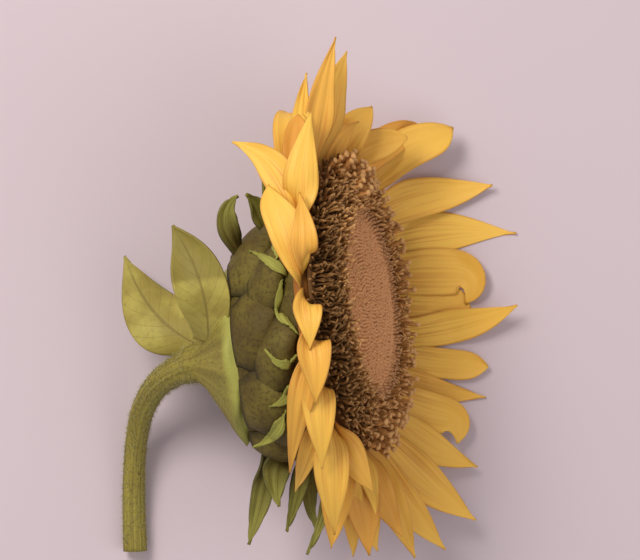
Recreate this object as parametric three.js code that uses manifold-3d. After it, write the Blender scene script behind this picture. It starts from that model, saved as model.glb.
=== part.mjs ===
// A cut sunflower lying on a table. The head leans on its lower petals and on the belly of its green
// bracts, with the disc facing +X and a little up. The bent stem comes down to the table at its cut end.
// Millimetres, +Z up, table top at z = 0, origin under the middle of the flower.
import * as THREE from "three";
import { mergeVertices } from "three/addons/utils/BufferGeometryUtils.js";
import Module from "manifold-3d";

const wasm = await Module();
wasm.setup();

const { Vector3 } = THREE;
const DEGREE = Math.PI / 180;

// Head: the rim circle of the disc and the way it faces
const HEAD_CENTRE = new Vector3(15.3, -2, 68);
const HEAD_TURN = 7; // degrees from +X towards +Y
const HEAD_PITCH = 15; // degrees above the table
const DISC_RADIUS = 63;
const BUD_RADIUS = 44; // closed buds in the middle of the disc
const DISC_BACK = -3.6; // how far ahead of the rim circle, negative behind
const DISC_DOME = 11;
const DISC_FALL = 13; // the disc's surface drops this much from its middle to its rim
const SEAM = 0.3; // gap between pieces that touch on the flower
const ORIGIN_SHIFT = new Vector3(0.4, 0, 0); // brings the origin under the middle of the whole flower

// Receptacle and flared neck, as rings from the seat of the disc back to the stem: how far ahead, how far
// the ring's middle drops below the head's axis, radius, and how much further ahead its top stands
const SEAT_AHEAD = -4;
const SEAT_RADIUS = 56;
const CORE_RINGS = [
  { ahead: SEAT_AHEAD, drop: 0, radius: SEAT_RADIUS, tilt: 0 },
  { ahead: -14, drop: 2, radius: 53, tilt: 0 },
  { ahead: -22, drop: 8, radius: 50, tilt: 2 },
  { ahead: -31, drop: 12, radius: 46.5, tilt: 4 },
  { ahead: -41.5, drop: 14, radius: 42.5, tilt: 6 },
  { ahead: -55, drop: 15.5, radius: 38.5, tilt: 8 },
];
const CONE_RINGS = [
  { ahead: -56.2, drop: 17, radius: 38.5, tilt: 8 },
  { ahead: -57.8, drop: 18.5, radius: 39.5, tilt: 7 },
  { ahead: -61.2, drop: 18.5, radius: 34, tilt: 6 },
  { ahead: -65.2, drop: 18, radius: 26.5, tilt: 4 },
  { ahead: -69.2, drop: 18, radius: 18.5, tilt: 2 },
  { ahead: -72.5, drop: 18, radius: 12.5, tilt: 0 },
  { ahead: -76, drop: 18, radius: 9, tilt: 0 },
];

// Stem, from the neck down to the cut end: middle of the stem and its radius
const STEM_POINTS = [
  { at: [-64.8, -32.6, 42], radius: 6.8 },
  { at: [-73.6, -39, 33], radius: 5.8 },
  { at: [-80.8, -51, 22], radius: 5.3 },
  { at: [-84.2, -68, 12.5], radius: 5 },
  { at: [-85.2, -91, 6.6], radius: 5.2 },
  { at: [-84.6, -115.5, 5.4], radius: 5.5 },
];
const STEM_SIDES = 24;
const STEM_STEPS = 14;

// Petals: where each root sits on the head's clock (0 at +Y, 90 on top, 180 at -Y, 270 at the table), its
// tip, its full width, how far it turns level (0 to 1), how far it leans ahead, how far its end rolls and
// hooks sideways (degrees), where it is widest, and how blunt, lopsided and sharp its end is
const PETAL_ROOT_RADIUS = 58.5;
const PETAL_ROOT_AHEAD = -7.8;
const PETAL_RING = { inner: SEAT_RADIUS + SEAM, outer: 60, back: -11, front: -5 };
const PETAL_THICKNESS = 0.8;
const PETALS = [
  { clock: 6, tip: [12, 111, 76], width: 17, turn: 0.6 },
  { clock: -4, tip: [17.5, 80, 56], width: 12, turn: 0.7 },
  { clock: 16, tip: [7, 117, 86], width: 14.5, turn: 0.7, widest: 0.4, sharp: 1.25 },
  { clock: 28, tip: [-6, 101, 80], width: 10, turn: 0.7, lean: 0 },
  { clock: -14, tip: [25, 86, 56], width: 17, turn: 0.8, curl: 60, blunt: 3 },
  { clock: -23, tip: [39.6, 73, 40], width: 15, turn: 0.9, blunt: 5, sharp: 1 },
  { clock: -34, tip: [51, 80, 16], width: 16, turn: 0.9, curl: 50, blunt: 3.5 },
  { clock: -43, tip: [61, 78, 24], width: 19, curl: 50, blunt: 6, widest: 0.55, sharp: 1, lop: -0.4 },
  { clock: -57, tip: [79, 52, 5], width: 19, lean: 25, widest: 0.5, blunt: 2.4, lop: -0.4 },
  { clock: -69, tip: [90, 30, 1], width: 20, lean: 25, widest: 0.55, blunt: 1.7, sharp: 1.3 },
  { clock: -81, tip: [82, 11, 8], width: 22, lean: 25, widest: 0.6, blunt: 3, hook: -130, hookFrom: 0.74 },
  { clock: -92, tip: [69, -4, 1], width: 19, lean: 25, blunt: 8, widest: 0.6, sharp: 1 },
  { clock: -104, tip: [90, -3, 13], width: 16, lean: 30, widest: 0.6, blunt: 2.2, lop: -0.35 },
  { clock: -112, tip: [77, -31, 4], width: 14, lean: 25, blunt: 7, widest: 0.55, sharp: 1 },
  { clock: -121, tip: [76, -45, 1], width: 14, lean: 20 },
  { clock: -130, tip: [73, -56, 7], width: 18, lean: 25, hook: -100, hookFrom: 0.7, widest: 0.58, blunt: 3 },
  { clock: -140, tip: [72, -77, 6], width: 17, lean: 20, widest: 0.5 },
  { clock: -152, tip: [71, -101, 16], width: 19, lean: 20, widest: 0.5 },
  { clock: -161, tip: [57, -114, 26], width: 15, lean: 10, widest: 0.55 },
  { clock: -168, tip: [43, -117, 42], width: 15, lean: 15 },
  { clock: -177, tip: [37, -107, 60], width: 15, turn: 0.8 },
  { clock: 178, tip: [26, -114, 42], width: 16, turn: 0.7, lean: 0 },
  { clock: 169, tip: [22, -115, 68], width: 18, turn: 0.8 },
  { clock: 172, tip: [25, -96, 80], width: 10, turn: 0.7, lean: 26 },
  { clock: 164, tip: [15, -116, 52], width: 11, turn: 0.7, lean: 5 },
  { clock: 147, tip: [24, -86, 92], width: 15, turn: 0.8, lean: 18 },
  { clock: 157, tip: [5, -111.5, 74], width: 16, turn: 0.8, lean: 0 },
  { clock: 142, tip: [6.5, -105, 86], width: 16, turn: 0.9, lean: 5 },
  { clock: 118, tip: [1, -75, 112], width: 15, lean: 15 },
  { clock: 128, tip: [1, -75, 100], width: 9, lean: 0, cup: 0.6 },
  { clock: 109, tip: [-13.5, -77, 96], width: 13, lean: -5 },
  { clock: 136, tip: [-11, -86, 76], width: 10, lean: -10 },
  { clock: 98, tip: [-3.5, -46, 130], via: [-6, -18, 147], width: 15, cup: 0.4 },
  { clock: 84, tip: [-8, -22, 137], via: [-10, 0, 146], width: 12.5 },
  { clock: 82, tip: [-23, 50.5, 118], via: [-10, 25, 143], width: 17, rootShare: 0.45, widest: 0.6, blunt: 3, lop: 0.5 },
  { clock: 73, tip: [-9, 47, 124], via: [-5, 22, 147], width: 12 },
  { clock: 50, tip: [-4, 83, 112], width: 16, lean: 10 },
  { clock: 57, tip: [-36, 69, 98], via: [-14, 62, 122], width: 16, curl: -30 },
  { clock: 38, tip: [-13, 94, 88], width: 17, turn: 0.8, lean: 0, curl: 60, blunt: 4, sharp: 1 },
  { clock: 43, tip: [-9.5, 82, 101], width: 11, lean: 0, blunt: 8, sharp: 1 },
];

// Bracts: a collar round the receptacle carries two rows of broad, rounded scales, which sag onto the table,
// pointed tips that bend back over them, and long free tips at its two sides
const COLLAR_THICKNESS = 2;
const COLLAR_PLACES = [-12, -14, -22, -31, -41.5, -54];
const BRACT_THICKNESS = 1.2;
const BRACT_SAG = 10;
const BRACT_ROWS = [
  { count: 8, firstClock: 35, root: -54, tip: -25, width: 42, bulge: 8, lift: 0.6 },
  { count: 9, firstClock: 20, root: -42, tip: -12.5, width: 37, bulge: 7, lift: 1.6 },
];
const BENT_TIPS = [
  { root: [64, -13], tip: [50, -25], width: 7 },
  { root: [74, -12.5], tip: [57, -33], width: 7 },
  { root: [99, -12.5], tip: [74, -17], width: 7 },
  { root: [106, -12.5], tip: [106, -28], width: 8 },
  { root: [123, -12.5], tip: [135, -33], width: 9 },
  { root: [139, -14], tip: [158, -44], width: 8 },
]; // hour of the clock and place ahead of both ends
const FREE_BRACTS = [
  { clock: 22, ahead: -46, tip: [-39.6, 47.7, 82], via: [-46, 34, 86], width: 10, rootShare: 1 },
  { clock: 6, ahead: -36, tip: [-33, 47, 76], width: 11 },
  { clock: 20, ahead: -26, tip: [-26, 58, 92], width: 13 },
  { clock: 182, ahead: -48, tip: [-33, -110, 50], via: [-24, -88, 58], width: 11, curl: -30, rootShare: 1, widest: 0.2 },
  { clock: 176, ahead: -40, tip: [-19, -93.5, 62], via: [-22, -78, 64], width: 14, curl: -30, rootShare: 0.8, widest: 0.3 },
  { clock: 185, ahead: -30, tip: [-15, -105, 50], via: [-9, -84, 58], width: 10, rootShare: 1, widest: 0.2 },
  { clock: 196, ahead: -24, tip: [-1, -105, 36], via: [-10, -86, 48], width: 10, rootShare: 1, widest: 0.2 },
  { clock: 178, ahead: -16, tip: [-6, -115, 58], via: [5, -96, 62], width: 5 },
  { clock: 300, ahead: -34, tip: [-30, 22, 0.6], width: 13 },
];

// Two leaves on the neck
const LEAF_THICKNESS = 1;
const LEAF_SEAT = 0.8; // from the neck's surface, outwards and backwards, to the middle of the leaf's root
const LEAVES = [
  {
    name: "neck_leaf_left",
    ahead: -76,
    clock: 10,
    tip: [-88.5, 17.5, 16],
    via: [-77, -13, 48],
    width: 29,
    cup: 0.3,
    curl: 10,
  },
  {
    name: "neck_leaf_upper",
    ahead: -69.2,
    clock: 46,
    tip: [-63.5, 31, 74],
    via: [-50, 4, 100],
    width: 23,
    cup: -0.25,
    curl: 40,
    blunt: 3,
  },
];

// Disc florets stand up from the ring round the buds, leaning outwards more towards the rim
const FLORET_COLUMNS = 64;
const FLORET_ROWS = 7;
const FLORET_HEIGHT = [4.5, 9.5]; // at the buds, at the rim
const FLORET_LEAN = [6, 38];
const BUD_COLUMNS = 40;
const BUD_ROWS = 8;
const BUD_HEIGHT = 1.4;

const GREEN = { stem: 0x9d9445, leaf: 0x98913f, bract: 0x554818 };
const YELLOW = 0xdfae4a;
const BROWN = { florets: 0x6b4826, buds: 0xa8724a };

// The head's own directions: ahead along its axis, up the clock's 12, and top at the clock's 3
const AHEAD = new Vector3(
  Math.cos(HEAD_PITCH * DEGREE) * Math.cos(HEAD_TURN * DEGREE),
  Math.cos(HEAD_PITCH * DEGREE) * Math.sin(HEAD_TURN * DEGREE),
  Math.sin(HEAD_PITCH * DEGREE),
);
const TWELVE = new Vector3(-Math.sin(HEAD_TURN * DEGREE), Math.cos(HEAD_TURN * DEGREE), 0);
const THREE_OCLOCK = new Vector3().crossVectors(AHEAD, TWELVE);

const mix = (a, b, share) => a + (b - a) * share;
const smooth = (share) => share * share * (3 - 2 * share);
const clamp01 = (x) => Math.min(1, Math.max(0, x));

// Outward direction at an hour of the head's clock, in degrees
function outward(clock) {
  return TWELVE.clone()
    .multiplyScalar(Math.cos(clock * DEGREE))
    .addScaledVector(THREE_OCLOCK, Math.sin(clock * DEGREE));
}

function headPoint(clock, radius, ahead, drop = 0) {
  return HEAD_CENTRE.clone()
    .addScaledVector(outward(clock), radius)
    .addScaledVector(AHEAD, ahead)
    .addScaledVector(TWELVE, -drop);
}

// Closed mesh from two lists: points, and triangles as triples of point numbers
function closedGeometry(points, triangles) {
  const geometry = new THREE.BufferGeometry().setFromPoints(points);
  return geometry.setIndex(triangles.flat());
}

function quad(a, b, c, d) {
  return [
    [a, b, c],
    [a, c, d],
  ];
}

// Solid of a geometry for joining and cutting
function solidOf(geometry) {
  const bare = geometry.clone();
  bare.deleteAttribute("normal");
  bare.deleteAttribute("uv");
  const merged = mergeVertices(bare, 1e-4);
  return new wasm.Manifold(
    new wasm.Mesh({
      numProp: 3,
      vertProperties: merged.attributes.position.array,
      triVerts: new Uint32Array(merged.index.array),
    }),
  );
}

// The triangles of the largest connected skin: sealed hollows between blades are filled, and loose scraps are dropped.
function largestSkin(triangles, vertexCount) {
  const parent = Uint32Array.from({ length: vertexCount }, (_, index) => index);
  const rootOf = (index) => {
    while (parent[index] !== index) index = parent[index] = parent[parent[index]];
    return index;
  };
  for (let corner = 0; corner < triangles.length; corner += 3) {
    parent[rootOf(triangles[corner + 1])] = rootOf(triangles[corner]);
    parent[rootOf(triangles[corner + 2])] = rootOf(triangles[corner]);
  }
  const sizes = new Map();
  for (let corner = 0; corner < triangles.length; corner += 3) {
    const skin = rootOf(triangles[corner]);
    sizes.set(skin, (sizes.get(skin) ?? 0) + 1);
  }
  const largest = [...sizes].sort((a, b) => b[1] - a[1])[0][0];
  return triangles.filter((_, place) => rootOf(triangles[place - (place % 3)]) === largest);
}

function geometryOf(solid) {
  const mesh = solid.getMesh();
  const triangles = largestSkin(mesh.triVerts, mesh.vertProperties.length / 3);
  const geometry = new THREE.BufferGeometry();
  geometry.setAttribute("position", new THREE.BufferAttribute(mesh.vertProperties, 3));
  geometry.setIndex(new THREE.BufferAttribute(triangles, 1));
  geometry.computeVertexNormals();
  return geometry;
}

function join(geometries) {
  return geometries.map(solidOf).reduce((sum, solid) => sum.add(solid));
}

// What would lie below the table top lies along it, pressed in a little and then cut flat
const TABLE_SIZE = 400;
const TABLE_PRESS = 0.15;
const table = new THREE.BoxGeometry(TABLE_SIZE, TABLE_SIZE, TABLE_SIZE).translate(0, 0, -TABLE_SIZE / 2);
const restOnTable = (solid) => solid.subtract(solidOf(table));

function layOnTable(point, thickness) {
  point.z = Math.max(point.z, thickness / 2 - TABLE_PRESS);
}

// Rings joined one after another and capped at both ends, or closed into a band when the last meets the first
function loft(rings, sides, isBand = false) {
  const points = [];
  const triangles = [];
  let across = TWELVE.clone();
  for (const { centre, radius, along, tilt = 0 } of rings) {
    across = across.clone().addScaledVector(along, -across.dot(along)).normalize();
    const over = new Vector3().crossVectors(along, across);
    for (let i = 0; i < sides; i += 1) {
      const angle = (i / sides) * 2 * Math.PI;
      points.push(
        centre
          .clone()
          .addScaledVector(across, radius * Math.cos(angle))
          .addScaledVector(over, radius * Math.sin(angle))
          .addScaledVector(along, tilt * Math.sin(angle)),
      );
    }
  }
  const spans = isBand ? rings.length : rings.length - 1;
  for (let k = 0; k < spans; k += 1) {
    const here = k * sides;
    const there = ((k + 1) % rings.length) * sides;
    for (let i = 0; i < sides; i += 1) {
      const j = (i + 1) % sides;
      triangles.push(...quad(here + i, there + i, there + j, here + j));
    }
  }
  if (!isBand) {
    const last = (rings.length - 1) * sides;
    const front = points.push(rings[0].centre) - 1;
    const back = points.push(rings[rings.length - 1].centre) - 1;
    for (let i = 0; i < sides; i += 1) {
      const j = (i + 1) % sides;
      triangles.push([front, i, j], [back, last + j, last + i]);
    }
  }
  return closedGeometry(points, triangles);
}

function headRing({ ahead, drop = 0, radius, tilt = 0 }) {
  return { centre: headPoint(0, 0, ahead, drop), radius, along: AHEAD, tilt };
}

// Ring of the receptacle at any place between its rings, `out` further out
function coreRing(ahead, out) {
  const k = CORE_RINGS.findIndex((ring) => ring.ahead <= ahead);
  const back = CORE_RINGS[k < 0 ? CORE_RINGS.length - 1 : Math.max(k, 1)];
  const front = CORE_RINGS[CORE_RINGS.indexOf(back) - 1];
  const share = (ahead - front.ahead) / (back.ahead - front.ahead);
  return {
    ahead,
    drop: mix(front.drop, back.drop, share),
    radius: mix(front.radius, back.radius, share) + out,
    tilt: mix(front.tilt, back.tilt, share),
  };
}

function ringPoint(clock, { ahead, drop, radius, tilt }) {
  return headPoint(clock, radius, ahead + tilt * Math.sin(clock * DEGREE), drop);
}

// A thin sheet over a grid of middle points, closed all round. Both faces are split into triangles alike.
function sheet(grid, thickness) {
  const rows = grid.length;
  const columns = grid[0].length;
  const middle = (i, k) => grid[Math.min(rows - 1, Math.max(0, i))][Math.min(columns - 1, Math.max(0, k))];
  const front = [];
  const back = [];
  for (let i = 0; i < rows; i += 1) {
    for (let k = 0; k < columns; k += 1) {
      const along = middle(i + 1, k).clone().sub(middle(i - 1, k));
      const across = middle(i, k + 1).clone().sub(middle(i, k - 1));
      const normal = along.cross(across).normalize();
      front.push(middle(i, k).clone().addScaledVector(normal, thickness / 2));
      back.push(middle(i, k).clone().addScaledVector(normal, -thickness / 2));
    }
  }
  const triangles = [];
  const size = rows * columns;
  for (let i = 0; i + 1 < rows; i += 1) {
    for (let k = 0; k + 1 < columns; k += 1) {
      const a = i * columns + k;
      for (const [p, q, r] of quad(a, a + columns, a + columns + 1, a + 1)) {
        triangles.push([p, q, r], [size + p, size + r, size + q]);
      }
    }
  }
  const edge = [];
  for (let k = 0; k < columns; k += 1) edge.push(k);
  for (let i = 1; i < rows; i += 1) edge.push(i * columns + columns - 1);
  for (let k = columns - 2; k >= 0; k -= 1) edge.push((rows - 1) * columns + k);
  for (let i = rows - 2; i > 0; i -= 1) edge.push(i * columns);
  edge.forEach((a, n) => {
    const b = edge[(n + 1) % edge.length];
    triangles.push(...quad(a, b, size + b, size + a));
  });
  return closedGeometry([...front, ...back], triangles);
}

// Share of the full width along a blade, 0 at the root and 1 at the tip: a narrow root, then widest, then a
// tip that is pointed at a bluntness of about 1.5 and square at 6, more so on one side when it is lopsided
function bladeOutline(share, u, { rootShare = 0.5, widest = 0.46, blunt = 1.8, lop = 0, sharp = 1.12 }) {
  const rise = rootShare + (1 - rootShare) * smooth(clamp01(share / widest));
  const power = blunt * (1 + lop * Math.sign(u));
  return rise * (1 - clamp01((share - widest) / (1 - widest)) ** power) ** sharp;
}

// Middle surface of a petal, leaf or free bract. Its midline is a curve that leaves the root along `start`
// and bends over to the tip (by way of `via` where that is given), rolled up by `curl` degrees and turned
// aside by `hook` degrees at its end. Its width lies along `side` at the root and turns level by `turn`.
const BLADE_ROWS = 6;
const HOOKED_ROWS = 10;
const BLADE_COLUMNS = 3;
const CURL_FROM = 0.55;
const LEVEL_BY = 0.55;
const TIP_WIDTH = 1;
function bladeGrid(shape, thickness) {
  const { root, start, tip, via, side, width, turn = 1, curl = 0, hook = 0, hookFrom = 0.55, cup = 0.16 } = shape;
  const rows = shape.rows ?? (hook ? HOOKED_ROWS : BLADE_ROWS);
  const bend = via ? new Vector3(...via) : root.clone().addScaledVector(start, root.distanceTo(tip) * 0.5);
  const curve = new THREE.QuadraticBezierCurve3(root, bend, tip);
  const level = new Vector3(0, 0, 1).cross(curve.getTangent(1)).normalize();
  if (level.dot(side) < 0) level.negate();
  const frames = [];
  for (let i = 0; i <= rows; i += 1) {
    const share = i / rows;
    const along = curve.getTangent(share);
    const across = side.clone().lerp(level, turn * smooth(clamp01(share / LEVEL_BY)));
    across.addScaledVector(along, -across.dot(along)).normalize();
    along.applyAxisAngle(across, curl * DEGREE * clamp01((share - CURL_FROM) / (1 - CURL_FROM)) ** 1.5);
    const face = new Vector3().crossVectors(along, across);
    const aside = hook * DEGREE * smooth(clamp01((share - hookFrom) / (1 - hookFrom)));
    along.applyAxisAngle(face, aside);
    across.applyAxisAngle(face, aside);
    frames.push({ share, along, across, face, point: curve.getPoint(share) });
  }
  const at = root.clone();
  return frames.map(({ share, along, across, face, point }, i) => {
    if (i > 0) {
      const before = frames[i - 1];
      const step = before.along.clone().add(along).normalize();
      at.addScaledVector(step, before.point.distanceTo(point));
    }
    const row = [];
    for (let k = 0; k <= BLADE_COLUMNS; k += 1) {
      const u = (2 * k) / BLADE_COLUMNS - 1;
      const half = Math.max(TIP_WIDTH, width * bladeOutline(share, u, shape)) / 2;
      const spot = at.clone().addScaledVector(across, u * half);
      spot.addScaledVector(face, cup * half * smooth(clamp01(share * 3)) * u * u);
      layOnTable(spot, thickness);
      row.push(spot);
    }
    return row;
  });
}

// Side direction of a blade that grows from the head: round the clock
const roundClock = (clock) => outward(clock + 90);

function leanOut(clock, lean) {
  return outward(clock)
    .multiplyScalar(Math.cos(lean * DEGREE))
    .addScaledVector(AHEAD, Math.sin(lean * DEGREE));
}

function petal({ clock, tip, lean = 12, ...rest }) {
  const shape = {
    root: headPoint(clock, PETAL_ROOT_RADIUS, PETAL_ROOT_AHEAD),
    start: leanOut(clock, lean),
    tip: new Vector3(...tip),
    side: roundClock(clock),
    rootShare: 0.65,
    ...rest,
  };
  return sheet(bladeGrid(shape, PETAL_THICKNESS), PETAL_THICKNESS);
}

function petalRing() {
  const { inner, outer, back, front } = PETAL_RING;
  const corners = [
    { ahead: front, radius: outer },
    { ahead: back, radius: outer },
    { ahead: back, radius: inner },
    { ahead: front, radius: inner },
  ];
  return loft(corners.map(headRing), STEM_SIDES, true);
}

function petals() {
  return geometryOf(restOnTable(join([petalRing(), ...PETALS.map(petal)])));
}

// Collar that the bracts grow from, a seam away from the receptacle all round
function bractCollar() {
  const outside = COLLAR_PLACES.map((ahead) => headRing(coreRing(ahead, SEAM + COLLAR_THICKNESS)));
  const inside = COLLAR_PLACES.map((ahead) => headRing(coreRing(ahead, SEAM)));
  return loft([...outside, ...inside.reverse()], STEM_SIDES, true);
}

// A broad, rounded bract that swells out from the collar like a pillow
const SCALE_ROWS = 3;
const SCALE_COLUMNS = 3;
function bractScale(row, clock) {
  const grid = [];
  const sag = BRACT_SAG * Math.max(0, -Math.sin(clock * DEGREE)) ** 3;
  const outline = { rootShare: 0.72, widest: 0.45, blunt: 2.6, sharp: 0.6 };
  for (let i = 0; i <= SCALE_ROWS; i += 1) {
    const share = i / SCALE_ROWS;
    const swell = Math.sin(Math.PI * (0.06 + 0.9 * share)) ** 0.7;
    const points = [];
    for (let k = 0; k <= SCALE_COLUMNS; k += 1) {
      const u = (2 * k) / SCALE_COLUMNS - 1;
      const half = Math.max(TIP_WIDTH, row.width * bladeOutline(share, u, outline)) / 2;
      const out = SEAM + COLLAR_THICKNESS / 2 + row.lift + (row.bulge + sag) * swell * (1 - 0.8 * u * u);
      const ring = coreRing(mix(row.root, row.tip, share - 0.12 * share * u * u), out);
      const point = ringPoint(clock + (u * half) / ring.radius / DEGREE, ring);
      layOnTable(point, BRACT_THICKNESS);
      points.push(point);
    }
    grid.push(points);
  }
  return sheet(grid, BRACT_THICKNESS);
}

// A pointed tip that rises between the scales and bends back over them
function bentTip({ root, tip, width }) {
  const [clock, ahead] = root;
  const shape = {
    root: ringPoint(clock, coreRing(ahead, COLLAR_THICKNESS)),
    via: ringPoint((clock * 2 + tip[0]) / 3, coreRing(ahead - 2, 16)).toArray(),
    tip: ringPoint(tip[0], coreRing(tip[1], 12.5)),
    side: roundClock(clock),
    width,
    turn: 0.3,
    rootShare: 1,
    widest: 0.3,
    blunt: 1.6,
    rows: 4,
  };
  return sheet(bladeGrid(shape, BRACT_THICKNESS), BRACT_THICKNESS);
}

function freeBract({ clock, ahead, tip, ...rest }) {
  const shape = {
    root: ringPoint(clock, coreRing(ahead, SEAM + COLLAR_THICKNESS / 2)),
    start: leanOut(clock, 10),
    tip: new Vector3(...tip),
    side: roundClock(clock),
    rootShare: 0.8,
    turn: 0.8,
    ...rest,
  };
  return sheet(bladeGrid(shape, BRACT_THICKNESS), BRACT_THICKNESS);
}

function bracts() {
  const scales = BRACT_ROWS.flatMap((row) =>
    Array.from({ length: row.count }, (_, i) => bractScale(row, row.firstClock + (i * 360) / row.count)),
  );
  return geometryOf(restOnTable(join([bractCollar(), ...scales, ...BENT_TIPS.map(bentTip), ...FREE_BRACTS.map(freeBract)])));
}

// Stem, flared neck and receptacle grew as one piece
function stemRings() {
  const neck = CONE_RINGS[CONE_RINGS.length - 1];
  const path = [headPoint(0, 0, neck.ahead, neck.drop), ...STEM_POINTS.map(({ at }) => new Vector3(...at))];
  const radii = [neck.radius, ...STEM_POINTS.map(({ radius }) => radius)];
  const curve = new THREE.CatmullRomCurve3(path);
  const rings = [];
  for (let i = 1; i <= STEM_STEPS; i += 1) {
    const share = i / STEM_STEPS;
    const place = share * (radii.length - 1);
    const k = Math.min(radii.length - 2, Math.floor(place));
    rings.push({
      centre: curve.getPoint(share),
      radius: mix(radii[k], radii[k + 1], place - k),
      along: curve.getTangent(share).negate(),
    });
  }
  return rings;
}

function stem() {
  const rings = [...CORE_RINGS.map(headRing), ...CONE_RINGS.map(headRing), ...stemRings()];
  return geometryOf(restOnTable(solidOf(loft(rings, STEM_SIDES))));
}

function leaf({ ahead, clock, tip, ...rest }) {
  const neck = CONE_RINGS.find((ring) => ring.ahead <= ahead);
  const shape = {
    root: ringPoint(clock, { ...neck, ahead: neck.ahead - LEAF_SEAT, radius: neck.radius + LEAF_SEAT }),
    start: leanOut(clock, -20),
    tip: new Vector3(...tip),
    side: roundClock(clock),
    rootShare: 0.35,
    ...rest,
  };
  return sheet(bladeGrid(shape, LEAF_THICKNESS), LEAF_THICKNESS);
}

// Disc: its surface is a low dome, and every second point of a polar grid is raised into a floret or a bud
const discTop = (radius) => DISC_DOME - DISC_FALL * (radius / DISC_RADIUS) ** 2;

function polarPoint(column, columns, radius, ahead) {
  const angle = (column / columns) * 2 * Math.PI;
  return new Vector3(radius * Math.cos(angle), radius * Math.sin(angle), ahead);
}

function floretRing() {
  const points = [];
  const triangles = [];
  const rows = FLORET_ROWS + 3;
  const inside = BUD_RADIUS + SEAM;
  for (let k = 0; k <= FLORET_ROWS; k += 1) {
    const share = k / FLORET_ROWS;
    const radius = mix(inside, DISC_RADIUS, share);
    const isEdge = k === 0 || k === FLORET_ROWS;
    for (let i = 0; i < FLORET_COLUMNS; i += 1) {
      const height = isEdge || (i + k) % 2 ? 0 : mix(...FLORET_HEIGHT, share);
      const lean = mix(...FLORET_LEAN, share) * DEGREE;
      const out = radius + height * Math.sin(lean);
      points.push(polarPoint(i, FLORET_COLUMNS, out, discTop(radius) + height * Math.cos(lean)));
    }
  }
  for (const radius of [DISC_RADIUS, inside]) {
    for (let i = 0; i < FLORET_COLUMNS; i += 1) points.push(polarPoint(i, FLORET_COLUMNS, radius, DISC_BACK));
  }
  for (let k = 0; k < rows; k += 1) {
    for (let i = 0; i < FLORET_COLUMNS; i += 1) {
      const j = (i + 1) % FLORET_COLUMNS;
      const here = k * FLORET_COLUMNS;
      const there = ((k + 1) % rows) * FLORET_COLUMNS;
      const corners = [here + i, there + i, there + j, here + j];
      triangles.push(...((i + k) % 2 ? quad(...corners) : quad(...corners.slice(1), corners[0])));
    }
  }
  return closedGeometry(points, triangles);
}

function budDome() {
  const points = [new Vector3(0, 0, discTop(0)), new Vector3(0, 0, DISC_BACK)];
  const triangles = [];
  const first = points.length;
  for (let k = 1; k <= BUD_ROWS + 1; k += 1) {
    const isBack = k > BUD_ROWS;
    const radius = BUD_RADIUS * Math.min(1, k / BUD_ROWS);
    for (let i = 0; i < BUD_COLUMNS; i += 1) {
      const height = k < BUD_ROWS && (i + k) % 2 === 0 ? BUD_HEIGHT : 0;
      points.push(polarPoint(i, BUD_COLUMNS, radius, isBack ? DISC_BACK : discTop(radius) + height));
    }
  }
  for (let i = 0; i < BUD_COLUMNS; i += 1) {
    const j = (i + 1) % BUD_COLUMNS;
    const last = first + BUD_ROWS * BUD_COLUMNS;
    triangles.push([0, first + i, first + j], [1, last + j, last + i]);
    for (let k = 0; k < BUD_ROWS; k += 1) {
      const here = first + k * BUD_COLUMNS;
      const there = here + BUD_COLUMNS;
      const corners = [here + i, there + i, there + j, here + j];
      triangles.push(...((i + k) % 2 ? quad(...corners.slice(1), corners[0]) : quad(...corners)));
    }
  }
  return closedGeometry(points, triangles);
}

function mesh(name, geometry, color, roughness = 0.6) {
  const made = new THREE.Mesh(geometry, new THREE.MeshStandardMaterial({ color, roughness, metalness: 0 }));
  made.name = name;
  return made;
}

const head = new THREE.Group();
head.position.copy(HEAD_CENTRE);
head.setRotationFromMatrix(new THREE.Matrix4().makeBasis(TWELVE, THREE_OCLOCK, AHEAD));
head.add(
  mesh("disc_florets", floretRing(), BROWN.florets, 0.8),
  mesh("disc_buds", budDome(), BROWN.buds, 0.8),
);

const flower = new THREE.Group();
flower.position.copy(ORIGIN_SHIFT);
flower.add(
  head,
  mesh("ray_petals", petals(), YELLOW),
  mesh("green_bracts", bracts(), GREEN.bract),
  mesh("stem", stem(), GREEN.stem),
  ...LEAVES.map(({ name, ...shape }) => mesh(name, leaf(shape), GREEN.leaf)),
);

const sunflower = new THREE.Group();
sunflower.add(flower);

export default sunflower;
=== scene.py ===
import math

import bpy
import numpy as np
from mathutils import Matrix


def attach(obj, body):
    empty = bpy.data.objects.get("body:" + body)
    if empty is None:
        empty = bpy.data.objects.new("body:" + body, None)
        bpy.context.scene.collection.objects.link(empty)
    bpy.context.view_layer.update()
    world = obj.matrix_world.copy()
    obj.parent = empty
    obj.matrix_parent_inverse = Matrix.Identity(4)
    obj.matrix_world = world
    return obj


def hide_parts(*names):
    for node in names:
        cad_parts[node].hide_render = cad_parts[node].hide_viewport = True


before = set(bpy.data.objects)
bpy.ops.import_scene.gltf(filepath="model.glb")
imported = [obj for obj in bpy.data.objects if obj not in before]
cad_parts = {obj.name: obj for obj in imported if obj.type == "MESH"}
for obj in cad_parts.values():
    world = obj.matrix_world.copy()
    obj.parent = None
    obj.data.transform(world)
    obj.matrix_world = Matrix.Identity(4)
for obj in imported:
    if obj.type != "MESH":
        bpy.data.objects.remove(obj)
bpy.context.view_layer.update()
rng = np.random.default_rng(11)  # the one source of chance, so every run is alike

# the flower is worked out in millimetres in its own frame, then shifted and scaled into the part's
mm = 0.001
originShift = np.array([0.4, 0.0, 0.0])
deg = math.pi / 180
zUp = np.array([0.0, 0.0, 1.0])

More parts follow.
